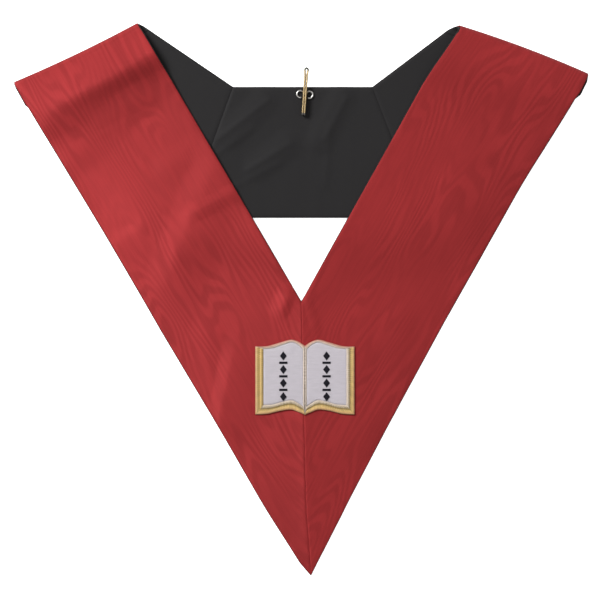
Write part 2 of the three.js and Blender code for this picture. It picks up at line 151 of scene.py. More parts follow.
# How high the fold holds a front over the layers below: distances from the fold, and heights along
# the inner edge, the middle and the outer edge, in millimetres
LOFT_AT = (0, 6, 14, 24, 28, 32, 36, 40, 46, 52, 60, 68, 76, 90, 112)
LOFTS = {
    "left": (
        (4.0, 4.6, 7.2, 9.3, 8.7, 7.2, 5.2, 3.5, 2.1, 1.3, 0.5, 0.1, 0, 0, 0),
        (4.0, 4.3, 6.0, 8.2, 8.6, 8.0, 6.5, 5.0, 3.4, 2.1, 0.6, 0, 0, 0, 0),
        (4.0, 4.0, 4.2, 4.7, 4.9, 5.0, 5.0, 4.8, 3.9, 2.8, 2.1, 1.8, 1.5, 1.0, 0),
    ),
    "right": (
        (6.6, 6.6, 7.2, 7.2, 6.7, 6.0, 5.2, 4.3, 3.1, 2.1, 1.0, 0.3, 0, 0, 0),
        (6.6, 6.6, 7.2, 7.2, 6.7, 6.0, 5.2, 4.3, 3.1, 2.1, 1.0, 0.3, 0, 0, 0),
        (6.6, 6.6, 7.0, 7.0, 6.7, 6.2, 5.5, 4.7, 3.6, 2.7, 1.6, 0.8, 0.3, 0, 0),
    ),
}
# How far the corners of that line are rounded, and the steps in which this is worked out
LOFT_ROUNDING = 5 * MM
LOFT_GRAIN = 0.25 * MM
# The ribbon's outer edge bulges over the layer behind: from the fold, and how far, in millimetres
BULGES = {
    "left": ((0.0, 0.0), (6.0, 0.5), (19.0, 0.7), (27.0, 0.0)),
    "right": ((0.0, 0.0), (8.0, 0.7), (16.0, 0.9), (23.0, 0.0)),
}
# At the inner end of the fold the lining curls over the ribbon's edge: how far, and how far down
CURLS = {"left": (0.4, 10.0), "right": (1.2, 9.0)}
# Fine creases of the neck band: shares along and across, then reach and height in millimetres
NECK_CREASES = (
    (0.27, 0.1, 0.02, 0.4, 2.4, 0.4),
    (0.2, 0.32, 0.02, 0.55, 3.0, 0.3),
    (0.43, 0.43, 0.22, 0.64, 2.2, 0.36),
    (0.38, 0.58, 0.16, 0.78, 2.6, 0.26),
    (0.8, 0.08, 0.62, 0.4, 2.6, 0.4),
    (0.66, 0.3, 0.6, 0.75, 4.0, 0.24),
)
# How far from a seam the relief of the cloth has died away
SEAM_CALM = 4 * MM
# Puckers beside the front seam: the lengths of two waves down it, how far aside each shifts by a
# radian, the share of the first wave alone, their reach aside, and where down the seam they start
PUCKER_WAVES = 19 * MM, 7.3 * MM
PUCKER_LEANS = 6 * MM, 4 * MM
PUCKER_FIRST = 0.4
PUCKER_REACH = 7 * MM
PUCKER_START = 2 * MM, 20 * MM

# The middle of the picture on the plan, and the height that it is framed at
PICTURE_MIDDLE = (-1.014 * MM, 0.751 * MM, 0.0)
FOCUS_HEIGHT = 4 * MM

# Fineness of the cloth: rows along each stretch, and columns across the ribbon
ROWS_DOWN_FRONT = 170
ROWS_NEAR_FOLD = 34
ROWS_IN_ROLL = 24
ROWS_BEHIND = 8
ROWS_ON_SHOULDER = 48
ROWS_ON_NECK = 70
COLUMNS = 52
# The cloth's cut edge: its rounding as a share of the thickness, and the angle that makes an edge
RIM_SHARE = 0.28
RIM_ANGLE = math.radians(50)
# Where on the roll each length was cut, in metres, so that no two show the same watered lines
CUT_FROM = {"front_left": 0.0, "front_right": 1.7, "shoulder_left": 3.1, "shoulder_right": 4.3,
            "neck": 5.9}

# Half of the book from the spine out: shares of half the width, and of half the height
BOOK_SECTIONS = (
    # across, top, foot, page top, page foot
    (0.0, 0.835, -1.0, 0.74, -0.78),
    (0.12, 0.94, -0.935, 0.86, -0.69),
    (0.28, 1.0, -0.865, 0.93, -0.61),
    (0.5, 0.925, -0.9, 0.865, -0.645),
    (0.76, 0.83, -0.98, 0.775, -0.72),
    (1.0, 0.82, -0.995, 0.75, -0.735),
)
BOOK_COLUMNS = {"top": 1, "foot": 2, "page_top": 3, "page_foot": 4}
BOOK_DROP = 57.3 * MM
BOOK_SHIFT = 2.7 * MM
FORE_EDGE = 6.2 * MM
GUTTER = 2.8 * MM

# The coloured threads of the border, from the page out, for each side of a page
BAND_THREADS = {
    "top": ((0.4, "cream"), (0.55, "brown"), (0.8, "peach")),
    "fore_left": ((0.12, "olive"), (0.2, "gold"), (0.5, "gold"), (0.56, "olive"), (0.64, "olive"),
                  (0.72, "gold"), (0.92, "gold"), (1.0, "peach")),
    "fore_right": ((0.22, "cream"), (0.32, "olive"), (0.5, "olive"), (0.6, "gold"), (0.85, "gold"),
                   (1.0, "peach")),
    "foot": ((0.12, "cream"), (0.3, "olive"), (0.46, "olive"), (0.6, "gold"), (0.8, "gold"),
             (1.0, "peach")),
    "spine": ((0.45, "cream"), (0.95, "grey")),
}
# Stitches of neighbouring rows end a little further in or out: share of the band's width
TOOTH = 0.12
# Rounded cords side by side in each band, how full they are, and how high the valleys between stay
BAND_CORDS = {"top": 1, "fore": 2, "foot": 2, "spine": 1}
CORD_FULLNESS = 0.6
VALLEY_SHARE = 0.55
# Fineness of the border and of a page
BAND_STEPS = {"top": 60, "fore": 60, "foot": 64, "spine": 40}
BAND_COLUMNS = 16
# Steps on either side over which the cords of two bands blend at a corner
CORD_BLEND = 2
PAGE_ROWS = 36
PAGE_COLUMNS = 28
# A page is crowned: the height of its edge as a share, and over how many steps it rises from there
PAGE_EDGE = 0.72
PAGE_CROWN_STEPS = 4
# Thickness of the backing as a share of the height of the stitches
BORDER_BACKING = 0.5
PAGE_BACKING = 0.6
# How far a page reaches under its border, and a mark into its page
PAGE_TUCK = 0.35 * MM
MARK_SINK = 0.5 * MM
MARK_ROUNDING = 0.3 * MM
# Vertices closer than this are one, in the embroidery and in the wires
BAND_MERGE = 0.001 * MM
WIRE_MERGE = 0.002 * MM

# The hook: where the middle between its sewing loops lies, right of the notch and down from the
# neck's edge, and how far the hook leans
HOOK_RIGHT = 2.6 * MM
HOOK_DOWN = 5.9 * MM
HOOK_LEAN = -math.radians(4)
# From that middle: how far its tip and foot reach, the gap between its two wires, and the radii of
# its loops, of the bend at the foot and of the tongue's tip, which opens over a reach
HOOK_TIP = 19.6 * MM
HOOK_FOOT = 15.4 * MM
HOOK_SPLIT = 0.06 * MM
HOOK_LOOP_RADIUS = 2.6 * MM
HOOK_BEND_RADIUS = 1.8 * MM
HOOK_TIP_RADIUS = 1.15 * MM
HOOK_TIP_REACH = 4.5 * MM
# Degrees round a sewing loop from the shank to the wire's end
HOOK_LOOP_END = 295
# Fineness of the wire's loops, bend, opening and tip, and where the opening passes into the tip
HOOK_STEPS = 22, 16, 12, 10
HOOK_OPENING_END = 0.95
# Painted highlight of pale silver on the loops and the foot, and a painted dark reflection at the
# tip: the distances aside, down and up where each starts and is complete
LOOP_HIGHLIGHT_REACH = 1.7 * MM, 2.4 * MM
FOOT_HIGHLIGHT_REACH = 13.6 * MM, 15.0 * MM
TIP_REFLECTION_REACH = 17.2 * MM, 18.6 * MM
# Tint of the gilt at grazing angles, and the colour of the painted dark reflection at the tip
EDGE_TINT = 0.35, 0.27, 0.16
DARK_REFLECTION = 0.1, 0.105, 0.085
WIRE_RESOLUTION = 5
# The stitches over the loops: their angles round the loop, and how they lie round the wire
STITCH_ANGLES = (60, 78, 96, 114, 132)
STITCH_STEPS = 8
STITCH_RESOLUTION = 2
STITCH_RADIUS = 0.22 * MM
STITCH_SLACK = 0.35 * MM
STITCH_SINK = 0.55 * MM

# The stage: its lights with their place, size and power, the light of the room, floor and camera
LIGHTS = (
    ("key", (-1.3, 1.07, 1.6), 0.8, 82.0),
    ("fill", (0.9, 0.5, 1.2), 1.2, 5.0),
    ("overhead", (0.0, 0.0, 3.0), 2.5, 17.0),
)
ROOM_LIGHT = 0.26
FLOOR_HALF = 3.0
FLOOR_DROP = 0.15 * MM
CAMERA_HEIGHT = 2.6
PICTURE_WIDTH = 450.6 * MM
SENSOR_WIDTH = 36
CAMERA_CLIP = 0.1, 20


# Sizes, colours and the panel


def length_property(name, description, millimetres):
    return FloatProperty(name=name, description=description, default=millimetres * MM, min=0,
                         unit="LENGTH")


class CollarSizes(PropertyGroup):
    """Sizes of the collar that a user would change."""

    ribbon_width: length_property("Ribbon Width", "Width of the ribbon", 101.6)
    ribbon_thickness: length_property("Ribbon Thickness", "Thickness of the ribbon", 1.0)
    lining_thickness: length_property("Lining Thickness", "Thickness of the lining", 1.0)
    lining_rim: length_property("Lining Rim", "How far the lining shows past the ribbon", 0.6)
    touch_gap: length_property("Touch Gap", "Gap between layers that touch", 0.3)
    edge_roundness: length_property("Edge Roundness", "How far the ribbon's edges turn down", 0.3)
    pucker_height: length_property("Pucker Height", "Height of the puckers at the front seam", 0.3)
    book_width: length_property("Book Width", "Width of the embroidered book", 74.6)
    book_height: length_property("Book Height", "Height of the embroidered book", 56.4)
    gilt_thickness: length_property("Border Height", "Height of the book's gold border", 1.6)
    page_thickness: length_property("Page Height", "Height of the book's pages", 1.2)
    wire_diameter: length_property("Wire Diameter", "Diameter of the hook's wire", 1.5)


def colour_property(name, description, default):
    return FloatVectorProperty(
        name=name, description=description, default=default, size=3, min=0, max=1, subtype="COLOR")


class CollarColours(PropertyGroup):
    """Colours of the collar's cloth, threads and wire."""

    ribbon_deep: colour_property("Ribbon, Deep", "Red of the ribbon between the watered lines",
                                 (0.168, 0.0150, 0.0158))
    ribbon_bright: colour_property("Ribbon, Bright", "Red of the watered lines",
                                   (0.262, 0.0232, 0.0246))
    lining: colour_property("Lining", "Black of the lining", (0.0084, 0.0076, 0.008))
    gold: colour_property("Gold Thread", "Main thread of the border", (0.53, 0.35, 0.115))
    olive: colour_property("Olive Thread", "Shadowed thread of the border", (0.17, 0.12, 0.03))
    peach: colour_property("Pale Thread", "Thread of the border's rim", (0.459, 0.233, 0.153))
    brown: colour_property("Brown Thread", "Line under the top rim", (0.386, 0.213, 0.173))
    cream: colour_property("Cream Thread", "Thread of the spine", (0.559, 0.465, 0.379))
    grey: colour_property("Grey Thread", "Line down the spine", (0.299, 0.246, 0.213))
    page: colour_property("Page Thread", "Thread of the pages", (0.495, 0.458, 0.497))
    mark: colour_property("Mark Thread", "Thread of the lozenges and bars", (0.010, 0.009, 0.014))
    # Pale silver painted as a highlight on the sewing loops and the foot of the hook
    highlight_silver: colour_property("Highlight Silver", "Painted highlight of the sewing loops and the foot", (0.4, 0.39, 0.375))
    wire: colour_property("Gilt Wire", "Metal of the hook", (0.4, 0.3, 0.16))


class COLLAR_PT_panel(Panel):
    """Lists the steps that build the collar, with its sizes and colours."""

    bl_label = "Lodge Collar"
    bl_idname = "COLLAR_PT_panel"
    bl_space_type = "VIEW_3D"
    bl_region_type = "UI"
    bl_category = "Collar"

    def draw(self, context):
        for step in STEPS:
            self.layout.operator(step.bl_idname)
        for group in (context.scene.collar_sizes, context.scene.collar_colours):
            box = self.layout.box()
            for name in group.__annotations__:
                box.prop(group, name)


# Plan of the laid collar


def point(x, y):
    return np.array([x, y], float)


def unit(vector):
    return vector / np.linalg.norm(vector)


def dot(a, b):
    return (a * b).sum(axis=-1)


def quarter_turn(vector):
    return point(-vector[1], vector[0])


def mixed(a, b, share):
    share = np.asarray(share)
    if share.ndim:
        share = share[..., None]
    return a + (b - a) * share


def smooth(value, low, high):
    share = np.clip((value - low) / (high - low), 0, 1)
    return share * share * (3 - 2 * share)


def beside(place, start, heading):
    """How far a place lies beside a line."""
    return np.abs(dot(place - start, quarter_turn(unit(heading))))


def crossing(start_a, heading_a, start_b, heading_b):
    apart = start_b - start_a
    turned = heading_a[0] * heading_b[1] - heading_a[1] * heading_b[0]
    return start_a + heading_a * ((apart[0] * heading_b[1] - apart[1] * heading_b[0]) / turned)


def mirrored(vector, line):
    return 2 * line * dot(vector, line) - vector


def lay_out_side(name, width):
    row = {key: value if key in SHARES else value * MM for key, value in SIDES[name].items()}
    row.update({key: math.radians(SIDES[name][key]) for key in ANGLES})
    side = SimpleNamespace(name=name, width=width, **row)
    mirror = side.mirror
    neck_corner = point(NECK_SHIFT + mirror * NECK_LENGTH / 2, OPENING_HEIGHT + NECK_DEPTH)
    side.shoulder = point(-mirror * math.cos(side.shoulder_rise), -math.sin(side.shoulder_rise))
    side.shoulder_outwards = mirror * quarter_turn(side.shoulder)
    side.fold = point(mirror * math.cos(side.fold_fall), -math.sin(side.fold_fall))
    side.inward = -mirror * quarter_turn(side.fold)
    side.fold_inner = neck_corner - side.shoulder * side.shoulder_length
    side.front = unit(-side.fold_inner)
    side.front_outwards = mirror * quarter_turn(side.front)
    side.shoulder_edge = neck_corner + side.shoulder_outwards * width
    front_edge = side.front_outwards * width
    flared_edge = front_edge + side.front_outwards * side.edge_flare
    side.fold_outer = crossing(side.fold_inner, side.fold, front_edge, side.front)
    side.fold_end = crossing(side.fold_inner, side.fold, flared_edge, side.front)
    side.back_edge = -mirrored(side.front, side.fold)
    neck_foot = point(0, OPENING_HEIGHT)
    mitre_inner = side.fold_inner + side.shoulder * MITRE_SETBACK
    mitre_outer = crossing(side.fold_end, side.back_edge, side.shoulder_edge, side.shoulder)
    side.mitre = mitre_inner, mitre_outer + unit(mitre_inner - mitre_outer) * side.corner_tuck
    side.neck_mitre = (neck_corner,
                       crossing(side.shoulder_edge, side.shoulder, neck_foot, point(1, 0)))
    return side


def collar_plan(sizes):
    """The plan of both sides and the point, drawn from the notch, and the heights of the layers."""
    left, right = (lay_out_side(name, sizes.ribbon_width) for name in ("left", "right"))
    half_angle = math.acos(dot(left.front, right.front)) / 2
    seam = point(math.sin(SEAM_LEAN), -math.cos(SEAM_LEAN))
    tip = seam * (sizes.ribbon_width / math.sin(half_angle) + TIP_STRETCH)
    for side in (left, right):
        side.tip = tip
        side.inner_length = np.linalg.norm(side.fold_inner)
        side.outer_length = np.linalg.norm(tip - side.fold_outer)
    frame_low, frame_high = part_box("book_gilt_frame")
    return SimpleNamespace(
        left=left,
        right=right,
        tip=tip,
        seam=seam,
        floor_level=sizes.ribbon_thickness + sizes.touch_gap / 2,
        layer_step=sizes.ribbon_thickness + sizes.lining_thickness + 2 * sizes.touch_gap,
        shift=np.array([(frame_low.x + frame_high.x) / 2 - BOOK_SHIFT,
                        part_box("lining_neck")[1].y - OPENING_HEIGHT - NECK_DEPTH, 0.0]),
    )


def inner_edge(side, distance):
    slip = side.corner_slip * (1 - smooth(distance, 0, CORNER_REACH))
    straight = side.fold_inner + np.multiply.outer(distance, side.front)
    return straight + np.multiply.outer(slip, side.fold)


def outer_edge(side, distance):
    share = distance / side.outer_length
    flare = side.edge_flare * (1 - smooth(share, 0, side.flare_reach))
    swell = np.interp(share, EDGE_SWELLS["along"], EDGE_SWELLS[side.name]) * MM
    straight = side.fold_outer + np.multiply.outer(distance, unit(side.tip - side.fold_outer))
    return straight + np.multiply.outer(flare + swell, side.front_outwards)


def front_plan(side, share, across):
    inner = inner_edge(side, np.asarray(share * side.inner_length))
    outer = outer_edge(side, np.asarray(share * side.outer_length))
    return inner + (outer - inner) * across


def crease_height(ridges, plan, width, place):
    height = np.zeros(place.shape[:-1])
    for along, across, to_along, to_across, reach, rise in ridges:
        start = plan(along, across)
        run = plan(to_along, to_across) - start
        share = np.clip(dot(place - start, run) / dot(run, run), 0, 1)
        away = np.linalg.norm(place - start - run * share[..., None], axis=-1) / (reach * width)
        height += rise * width * np.clip(1 - away * away, 0, None) ** 2
    return height


def from_fold(side, place):
    return dot(place - side.fold_inner, side.inward)


def loft_line(heights, distance):
    """Height at distances from the fold, along straight stretches with rounded corners."""
    margin = 2 * LOFT_ROUNDING
    dense = np.arange(-margin, LOFT_AT[-1] * MM + 2 * margin, LOFT_GRAIN)
    window = round(LOFT_ROUNDING / LOFT_GRAIN)
    line = np.interp(dense, np.array(LOFT_AT) * MM, np.array(heights) * MM)
    rounded = np.convolve(line, np.full(window, 1 / window), mode="same")
    return np.interp(distance, dense, rounded)


def front_height(plan, side, place):
    """Height of a front's mid surface over the table, from the roll down to the point."""
    beyond_shoulder = dot(place - side.shoulder_edge, side.shoulder_outwards)
    beyond = np.maximum(beyond_shoulder, OPENING_HEIGHT - place[..., 1]) - DRAPE_START
    covering = 1 - smooth(beyond, 0, DRAPE_REACH)
    distance = from_fold(side, place)
    outwards = np.clip(dot(place - side.fold_inner, side.fold) / side.width, 0, 1)
    weights = ((1 - outwards) * (1 - 2 * outwards), 4 * outwards * (1 - outwards),
               outwards * (2 * outwards - 1))
    loft = sum(weight * loft_line(heights, distance)
               for weight, heights in zip(weights, LOFTS[side.name]))
    lift = plan.layer_step * covering + loft
    name = f"front_{side.name}"
    ridges = RELIEF[name] * crease_height(
        CREASES[name], lambda share, across: front_plan(side, share, across), side.width, place)
    return plan.floor_level + lift + ridges


def drape_height(side, place):
    """Height of the soft crests of a front, which die away at the front seam."""
    height = np.zeros(place.shape[:-1])
    rising, dying = DRAPE_ENDS
    from_seam = beside(place, 0, side.tip)
    for along, across, to_along, to_across, before, after, rise in DRAPES[side.name]:
        start = front_plan(side, along, across)
        run = front_plan(side, to_along, to_across) - start
        ahead = quarter_turn(unit(run))
        ahead = ahead * math.copysign(1, dot(ahead, side.front))
        past = dot(place - start, ahead)
        share = dot(place - start, run) / dot(run, run)
        ends = smooth(share, *rising) * (1 - smooth(share, *dying))
        crest = smooth(past, -before * MM, 0) * (1 - smooth(past, 0, after * MM))
        height += rise * MM * crest * ends
    return height * smooth(from_seam, 0, SEAM_CALM)


def bowed(side, place, across):
    fading = 1 - smooth(from_fold(side, place), 0, side.width / 2)
    bow = side.fold_bow * 4 * across * (1 - across) * fading
    return place - bow[..., None] * side.inward


def swung(plan, place):
    moved = place.copy()
    moved[..., 0] += TIP_SWING * (1 - smooth(place[..., 1] - plan.tip[1], 0, TIP_SWING_REACH))
    return moved


# Rows of the cloth: the ends of each row on the plan, from the inner edge to the outer edge


def spread(start, end, steps):
    return mixed(start, end, np.linspace(0, 1, steps + 1))


def between(start, end, share):
    """Rows of places between two lines, at shares of the way from the one to the other."""
    return start[:, None] + (end - start)[:, None] * share[..., None]


def roll_rows(plan, side, angle):
    turned = smooth(angle, 0, math.pi)
    distance = plan.floor_level + side.roll_radius * (1 - np.sin(angle))
    height = plan.floor_level + side.roll_radius * (1 - np.cos(angle))
    headings = side.shoulder, side.front, side.back_edge, unit(side.tip - side.fold_outer)
    shoulder, front, back, outer = (heading / dot(heading, side.inward) for heading in headings)
    start = side.fold_inner + np.multiply.outer(side.corner_slip * turned, side.fold)
    inner = start + mixed(shoulder, front, turned) * distance[:, None]
    return inner, side.fold_end + mixed(back, outer, turned) * distance[:, None], height


def lap_seam(inner, outer, index, place):
    """Moves a row at a seam over it, away from a place on the row's own side."""
    aside = quarter_turn(unit(outer[index] - inner[index]))
    aside *= -math.copysign(SEAM_LAP / 2, dot(place - inner[index], aside))
    inner[index] += aside
    outer[index] += aside


def columns(inner, outer, rim, rims=None):
    """Shares across the ribbon of each column, drawn in from both edges by the rims of each row."""
    length = np.linalg.norm(outer - inner, axis=1)
    low, high = rims or (rim, rim)
    start, end = low / length, 1 - high / length
    share = np.linspace(0, 1, COLUMNS + 1)
    return start[:, None] + np.multiply.outer(end - start, share)


def front_rims(side, inner, outer, rim):
    """Rims of a front's rows: the lining's curl at the inner edge, the bulge at the outer one."""
    if not rim:
        return None
    curl, reach = CURLS[side.name]
    distance = np.abs(from_fold(side, inner))
    low = rim + curl * MM * (1 - smooth(distance, 0, reach * MM))
    on_top = np.arange(len(inner)) <= ROWS_DOWN_FRONT + ROWS_NEAR_FOLD + ROWS_IN_ROLL // 2
    at, bulge = np.array(BULGES[side.name]).T * MM
    along = dot(outer - side.fold_outer, side.front)
    return low, rim - np.where(on_top, np.interp(along, at, bulge), 0)


def front_surface(plan, side, rim):
    roll_end = (plan.floor_level + side.roll_radius) / dot(side.front, side.inward)
    near_end = side.width / 2
    near = np.linspace(near_end, roll_end, ROWS_NEAR_FOLD + 1)[:-1]
    *rolled, roll_level = roll_rows(plan, side, np.linspace(math.pi, 0, ROWS_IN_ROLL + 1))
    inner, outer = (
        np.vstack([edge(side, np.linspace(length, near_end, ROWS_DOWN_FRONT + 1)[:-1]),
                   edge(side, near), roll, spread(roll[-1], mitre, ROWS_BEHIND)[1:]])
        for edge, length, roll, mitre in zip((inner_edge, outer_edge),
                                             (side.inner_length, side.outer_length),
                                             rolled, side.mitre))
    lap_seam(inner, outer, 0, side.fold_inner)
    lap_seam(inner, outer, -1, side.fold_end)
    across = columns(inner, outer, rim, front_rims(side, inner, outer, rim))
    place = bowed(side, between(inner, outer, across), across)
    on_top = ROWS_DOWN_FRONT + ROWS_NEAR_FOLD
    level = np.full(across.shape, plan.floor_level)
    level[on_top:on_top + ROWS_IN_ROLL + 1] = roll_level[:, None]
    level[:on_top] = front_height(plan, side, place[:on_top])
    level[:on_top] += pucker_height(plan, side, place[:on_top]) + drape_height(side, place[:on_top])
    place[:on_top] = swung(plan, place[:on_top])
    return np.dstack([place, level]), across


def pucker_height(plan, side, place):
    """Small gathers that the front seam draws into the ribbon on either side of it."""
    down = dot(place, plan.seam)
    away = beside(place, 0, plan.seam)
    wave, finer = (
        0.5 + 0.5 * np.sin(down * 2 * math.pi / length + way * away / lean)
        for length, lean, way in zip(PUCKER_WAVES, PUCKER_LEANS, (side.mirror, -1)))
    fading = np.exp(-away / PUCKER_REACH) * smooth(down, *PUCKER_START)
    height = bpy.context.scene.collar_sizes.pucker_height
    return height * (wave * finer + PUCKER_FIRST * wave) * fading


def strip_surface(plan, start, end, steps, rim, settle):
    inner, outer = (spread(a, b, steps) for a, b in zip(start, end))
    lap_seam(inner, outer, 0, end[0])
    lap_seam(inner, outer, -1, start[0])
    across = columns(inner, outer, rim)
    return settle(between(inner, outer, across), across), across


def shoulder_surface(plan, side, rim):
    def settle(place, across):
        return np.dstack([bowed(side, place, across), np.full(across.shape, plan.floor_level)])
    return strip_surface(plan, side.mitre, side.neck_mitre, ROWS_ON_SHOULDER, rim, settle)


def neck_surface(plan, rim):
    left, right = plan.left.neck_mitre, plan.right.neck_mitre

    def strip_plan(share, across):
        inner, outer = (mixed(a, b, share) for a, b in zip(left, right))
        return inner + (outer - inner) * across

    def settle(place, across):
        width = plan.left.width
        ridges = RELIEF["neck"] * crease_height(CREASES["neck"], strip_plan, width, place)
        fine = [(*row[:4], row[4] * MM / width, row[5] * MM / width) for row in NECK_CREASES]
        relief = ridges + crease_height(fine, strip_plan, width, place)
        for inner, outer in (left, right):
            relief = relief * smooth(beside(place, inner, outer - inner), 0, SEAM_CALM)
        return np.dstack([place, plan.floor_level + relief])
    return strip_surface(plan, left, right, ROWS_ON_NECK, rim, settle)


def travelled(line):
    """Length from the first row of a line or a surface to each row, along its columns."""
    steps = np.linalg.norm(np.diff(line, axis=0), axis=-1)
    return np.concatenate([np.zeros_like(steps[:1]), np.cumsum(steps, axis=0)])


def normals_of(surface):
    down, outwards = np.gradient(surface, axis=0), np.gradient(surface, axis=1)
    normal = np.cross(down, outwards)
    return normal / np.linalg.norm(normal, axis=-1, keepdims=True)


# Meshes


def finished(name, bm, material, smooth_faces=True):
    """The object of a finished bmesh, in the scene and with its material."""
    mesh = bpy.data.meshes.new(name)
    for face in bm.faces:
        face.smooth = smooth_faces
    bm.to_mesh(mesh)
    bm.free()
    piece = bpy.data.objects.new(name, mesh)
    bpy.context.scene.collection.objects.link(piece)
    mesh.materials.append(material)
    return piece


def on_body(piece, slot, *nodes):
    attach(piece, BODY)
    if nodes:
        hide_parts(*nodes)


def mapped_grid(bm, surface):
    """Adds a grid that takes the shape of a surface. Returns the row and column of each vertex."""
    rows, across = surface.shape[0] - 1, surface.shape[1] - 1
    made = bmesh.ops.create_grid(bm, x_segments=rows, y_segments=across, size=0.5)["verts"]
    spots = {}
    for vertex in made:
        spots[vertex] = round((vertex.co.x + 0.5) * rows), round((vertex.co.y + 0.5) * across)
        vertex.co = surface[spots[vertex]]
    return spots


def map_uv(bm, name, uv_of):
    """Adds a UV map, which holds a pair of lengths for each vertex."""
    layer = bm.loops.layers.uv.new(name)
    for face in bm.faces:
        for loop in face.loops:
            loop[layer].uv = uv_of(loop.vert)


def cloth_piece(name, material, surface, across, offset, width, start, flip):
    """One face of a length of cloth, with its UV map in metres of ribbon."""
    travel = unit(surface[1, 0] - surface[0, 0])
    along = travelled(surface) + dot(surface[0] - surface[0, 0], travel) + start
    bm = bmesh.new()
    spots = mapped_grid(bm, surface + normals_of(surface) * offset[..., None])
    map_uv(bm, "cloth", lambda vertex: (along[spots[vertex]], across[spots[vertex]] * width))
    if flip:
        bmesh.ops.reverse_faces(bm, faces=bm.faces)
    return finished(name, bm, material)


def add_wall(piece, name, thickness):
    wall = piece.modifiers.new(name, "SOLIDIFY")
    wall.thickness = thickness
    wall.offset = -1
    return wall


def thicken(piece, thickness):
    """Gives a face of cloth its thickness and a rounded rim."""
    add_wall(piece, "wall", thickness).use_even_offset = True
    rim = piece.modifiers.new("rounded rim", "BEVEL")
    rim.width = RIM_SHARE * thickness
    rim.segments = 2
    rim.limit_method = "ANGLE"
    rim.angle_limit = RIM_ANGLE


def sheet_area(surface):
    rows, cols = np.diff(surface, axis=0), np.diff(surface, axis=1)
    return float(np.linalg.norm(np.cross(rows[:, :-1], cols[:-1, :]), axis=-1).sum())


def is_mark(node_name):
    return "_lozenge_" in node_name or "_bar_" in node_name


def declare_sheet(surface, width):
    """Works out a sheet's length, as wide as the ribbon: the greatest of its two edges' lengths and
    its area over that width. Nothing uses it.
    """
    area = sheet_area(surface)
    length = max(*travelled(surface)[-1, [0, -1]].tolist(), area / width)


def edge_draw(surface, across, width, depth):
    """How far the face of the cloth is drawn down towards its two edges and its two seams."""
    to_edge = np.minimum(across, 1 - across) * width
    along = travelled(surface)
    to_seam = np.minimum(along, along[-1] - along)
    return depth * (1 - np.clip(np.minimum(to_edge, to_seam) / EDGE_REACH, 0, 1)) ** 2


def make_cloth(plan, name, surface_of, reverse=False):
    """The ribbon and the lining of one length of cloth."""
    sizes = bpy.context.scene.collar_sizes
    width, roundness = sizes.ribbon_width, sizes.edge_roundness
    layers = (
        ("ribbon", sizes.lining_rim, 1, sizes.ribbon_thickness, "ribbon_red"),
        ("lining", 0.0, -1, sizes.lining_thickness, "lining_black"),
    )
    for layer, rim, sign, thickness, slot in layers:
        surface, across = surface_of(rim)
        surface = surface + plan.shift
        if reverse:
            surface, across = surface[::-1], across[::-1]
        drawn = edge_draw(surface, across, width, roundness)
        far = sign * (sizes.touch_gap / 2 + thickness - drawn)
        node_name = f"{layer}_{name}"
        piece = cloth_piece(f"{node_name}_cloth", material_of(layer), surface, across, far, width,
                            CUT_FROM[name], sign < 0)
        thicken(piece, thickness - roundness / 2)
        on_body(piece, slot, node_name)
        declare_sheet(surface, width)


# Materials


def feed(tree, target, inputs):
    """Links or sets the named inputs of a node."""
    for name, value in inputs.items():
        if isinstance(value, bpy.types.NodeSocket):
            tree.links.new(value, target.inputs[name])
        else:
            target.inputs[name].default_value = value


def node(tree, kind, inputs=None, **settings):
    made = tree.nodes.new("ShaderNode" + kind)
    for name, value in settings.items():
        setattr(made, name, value)
    feed(tree, made, inputs or {})
    return made


def calc(tree, operation, *values):
    return node(tree, "Math", dict(enumerate(values)), operation=operation).outputs[0]


def weighted(tree, base, *parts):
    """A base value with each part times its share added to it."""
    for part, share in parts:
        base = calc(tree, "ADD", base, calc(tree, "MULTIPLY", part, share))
    return base


def centred(tree, value):
    return calc(tree, "SUBTRACT", value, 0.5)


def sine(tree, value, factor=2 * math.pi):
    return calc(tree, "SINE", calc(tree, "MULTIPLY", value, factor))


def blended(tree, factor, a, b):
    # The colours of a Mix node are its inputs 6 and 7, and its output 2
    return node(tree, "Mix", {"Factor": factor, 6: a, 7: b}, data_type="RGBA").outputs[2]


def scaled(tree, colour, share):
    return node(tree, "VectorMath", {0: colour, "Scale": share},
                operation="SCALE").outputs[0]


def eased(tree, value, low, high, to_low, to_high):
    """A value moved from one range to another, slowly at both ends."""
    return node(tree, "MapRange",
                {"Value": value, "From Min": low, "From Max": high, "To Min": to_low,
                 "To Max": to_high}, interpolation_type="SMOOTHSTEP").outputs[0]


def noise(tree, coordinates, scale, offset=0.0, detail=2.0, roughness=0.5):
    """Noise with its own fineness, in spots a metre, along each coordinate."""
    mapping = node(tree, "Mapping",
                   {"Vector": coordinates, "Scale": (*scale, 1.0)[:3], "Location": (0, 0, offset)})
    return node(tree, "TexNoise",
                {"Vector": mapping.outputs[0], "Scale": 1.0, "Detail": detail,
                 "Roughness": roughness}).outputs[0]


def uv_parts(tree, name):
    uv = node(tree, "UVMap", uv_map=name).outputs[0]
    parts = node(tree, "SeparateXYZ", {0: uv})
    return uv, parts.outputs[0], parts.outputs[1]


def own_place(tree):
    return node(tree, "TexCoord").outputs["Object"]


def attribute(tree, name, output):
    return node(tree, "Attribute", attribute_name=name).outputs[output]


def bump(tree, height, distance, **more):
    return node(tree, "Bump", {"Height": height, "Distance": distance, "Strength": 1.0,
                                         **more}).outputs[0]


def new_material(name, viewport, uniform):
    """A material, its node tree and its shader, with the shader's uniform numbers."""
    material = bpy.data.materials.new(name)
    material.use_nodes = True
    material.diffuse_color = (*viewport, 1)
    tree = material.node_tree
    shader = tree.nodes["Principled BSDF"]
    feed(tree, shader, uniform)
    return material, tree, shader


def rgba(colour):
    return (*colour, 1.0)


